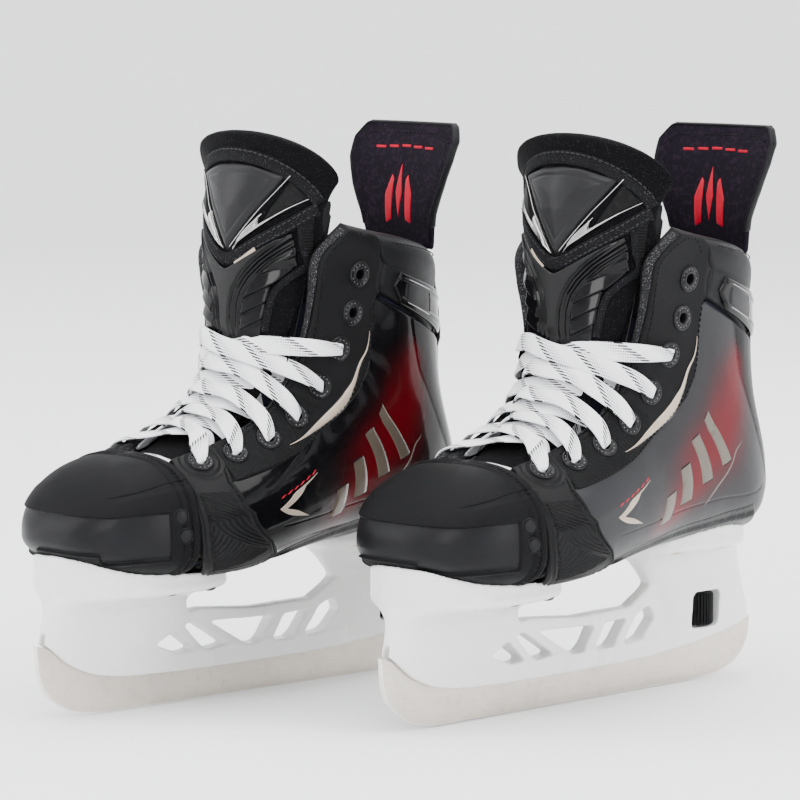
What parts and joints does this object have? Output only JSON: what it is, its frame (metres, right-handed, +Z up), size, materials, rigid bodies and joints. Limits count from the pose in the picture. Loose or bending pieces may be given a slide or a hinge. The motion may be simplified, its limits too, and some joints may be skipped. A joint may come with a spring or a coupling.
{
  "type": "ice hockey skates",
  "caption": "Pair of ice hockey skates with laced boots, white blade holders and removable steel runners.",
  "frame": {"origin": "on the ice, under the middle of the pair", "axes": "toes towards -Y, +X towards the left skate, +Z up"},
  "size_m": [0.2474, 0.3645, 0.283],
  "materials": {
    "cap_plastic": "fine grained matte",
    "leather_black": "soft satin",
    "shell_composite": "satin to gloss lacquer",
    "wing_plastic": "moulded matte",
    "facing_leather": "matte synthetic leather",
    "trim_gloss": "gloss",
    "lining_fabric": "brushed microfibre",
    "board": "matte fibre board",
    "sole_composite": "gloss composite",
    "felt": "thick felt",
    "guard_fabric": "dense woven fabric",
    "eyelet_metal": "satin black paint",
    "holder_white": "gloss white nylon",
    "runner_steel": "ground steel",
    "wheel_black": "matte",
    "stud_steel": "turned",
    "rivet_black": "satin",
    "rivet_copper": "satin copper",
    "lace_white": "waxed flat weave",
    "aglet_clear": "gloss",
    "stitch_thread": "twisted thread",
    "silver_trim": "bright foil",
    "gold_print": "satin metallic print",
    "red_print": "satin print"
  },
  "bodies": {
    "root": {"left_toe_cap": "cap_plastic", "left_vamp": "leather_black", "left_quarter_shell": "shell_composite", "left_outer_wing": "wing_plastic", "left_inner_wing": "wing_plastic", "left_outer_facing": "facing_leather", "left_inner_facing": "facing_leather", "left_collar": "leather_black", "left_collar_trim": "trim_gloss", "left_backstay": "trim_gloss", "left_lining": "lining_fabric", "left_footbed": "lining_fabric", "left_insole_board": "board", "left_outsole": "sole_composite", "left_tongue_lower": "felt", "left_eyelets": "eyelet_metal", "left_holder": "holder_white", "left_lock_stud": "stud_steel", "left_front_rivets": "rivet_black", "left_rear_rivets": "rivet_copper", "left_lace": "lace_white", "left_lace_tails": "lace_white", "left_aglets": "aglet_clear", "right_toe_cap": "cap_plastic", "right_vamp": "leather_black", "right_quarter_shell": "shell_composite", "right_outer_wing": "wing_plastic", "right_inner_wing": "wing_plastic", "right_outer_facing": "facing_leather", "right_inner_facing": "facing_leather", "right_collar": "leather_black", "right_collar_trim": "trim_gloss", "right_backstay": "trim_gloss", "right_lining": "lining_fabric", "right_footbed": "lining_fabric", "right_insole_board": "board", "right_outsole": "sole_composite", "right_tongue_lower": "felt", "right_eyelets": "eyelet_metal", "right_holder": "holder_white", "right_lock_stud": "stud_steel", "right_front_rivets": "rivet_black", "right_rear_rivets": "rivet_copper", "right_lace": "lace_white", "right_lace_tails": "lace_white", "right_aglets": "aglet_clear"},
    "left_tongue_top_body": {"left_tongue_upper": "felt", "left_tongue_guard": "trim_gloss", "left_tongue_badge": "leather_black"},
    "left_tendon_guard_body": {"left_tendon_guard": "guard_fabric", "left_tendon_spine": "trim_gloss"},
    "left_runner_body": {"left_runner": "runner_steel"},
    "left_lock_wheel_body": {"left_lock_wheel": "wheel_black"},
    "right_tongue_top_body": {"right_tongue_upper": "felt", "right_tongue_guard": "trim_gloss", "right_tongue_badge": "leather_black"},
    "right_tendon_guard_body": {"right_tendon_guard": "guard_fabric", "right_tendon_spine": "trim_gloss"},
    "right_runner_body": {"right_runner": "runner_steel"},
    "right_lock_wheel_body": {"right_lock_wheel": "wheel_black"}
  },
  "joints": [
    {"name": "left_tongue_flop", "type": "hinge", "parent": "root", "child": "left_tongue_top_body", "pos_m": [0.06825, 0.037, 0.1815], "axis": [0.9997, 0.0262, 0], "range_deg": [-4, 35], "stiffness_Nm_per_rad": 0.6},
    {"name": "left_tendon_flex", "type": "hinge", "parent": "root", "child": "left_tendon_guard_body", "pos_m": [0.06523, 0.15246, 0.2216], "axis": [0.9997, 0.0262, 0], "range_deg": [-20, 8], "stiffness_Nm_per_rad": 2},
    {"name": "left_runner_release", "type": "hinge", "parent": "root", "child": "left_runner_body", "pos_m": [0.0713, -0.07946, 0.035], "axis": [-0.9997, -0.0262, 0], "range_deg": [0, 8]},
    {"name": "left_lock_wheel_turn", "type": "hinge", "parent": "root", "child": "left_lock_wheel_body", "pos_m": [0.06551, 0.14147, 0.0367], "axis": [0, 0, 1], "range_deg": [0, 540]},
    {"name": "right_tongue_flop", "type": "hinge", "parent": "root", "child": "right_tongue_top_body", "pos_m": [-0.06825, -0.056, 0.1815], "axis": [0.9997, -0.0262, 0], "range_deg": [-4, 35], "stiffness_Nm_per_rad": 0.6},
    {"name": "right_tendon_flex", "type": "hinge", "parent": "root", "child": "right_tendon_guard_body", "pos_m": [-0.06523, 0.05946, 0.2216], "axis": [0.9997, -0.0262, 0], "range_deg": [-20, 8], "stiffness_Nm_per_rad": 2},
    {"name": "right_runner_release", "type": "hinge", "parent": "root", "child": "right_runner_body", "pos_m": [-0.0713, -0.17246, 0.035], "axis": [-0.9997, 0.0262, 0], "range_deg": [0, 8]},
    {"name": "right_lock_wheel_turn", "type": "hinge", "parent": "root", "child": "right_lock_wheel_body", "pos_m": [-0.06551, 0.04847, 0.0367], "axis": [0, 0, 1], "range_deg": [0, 540]}
  ]
}
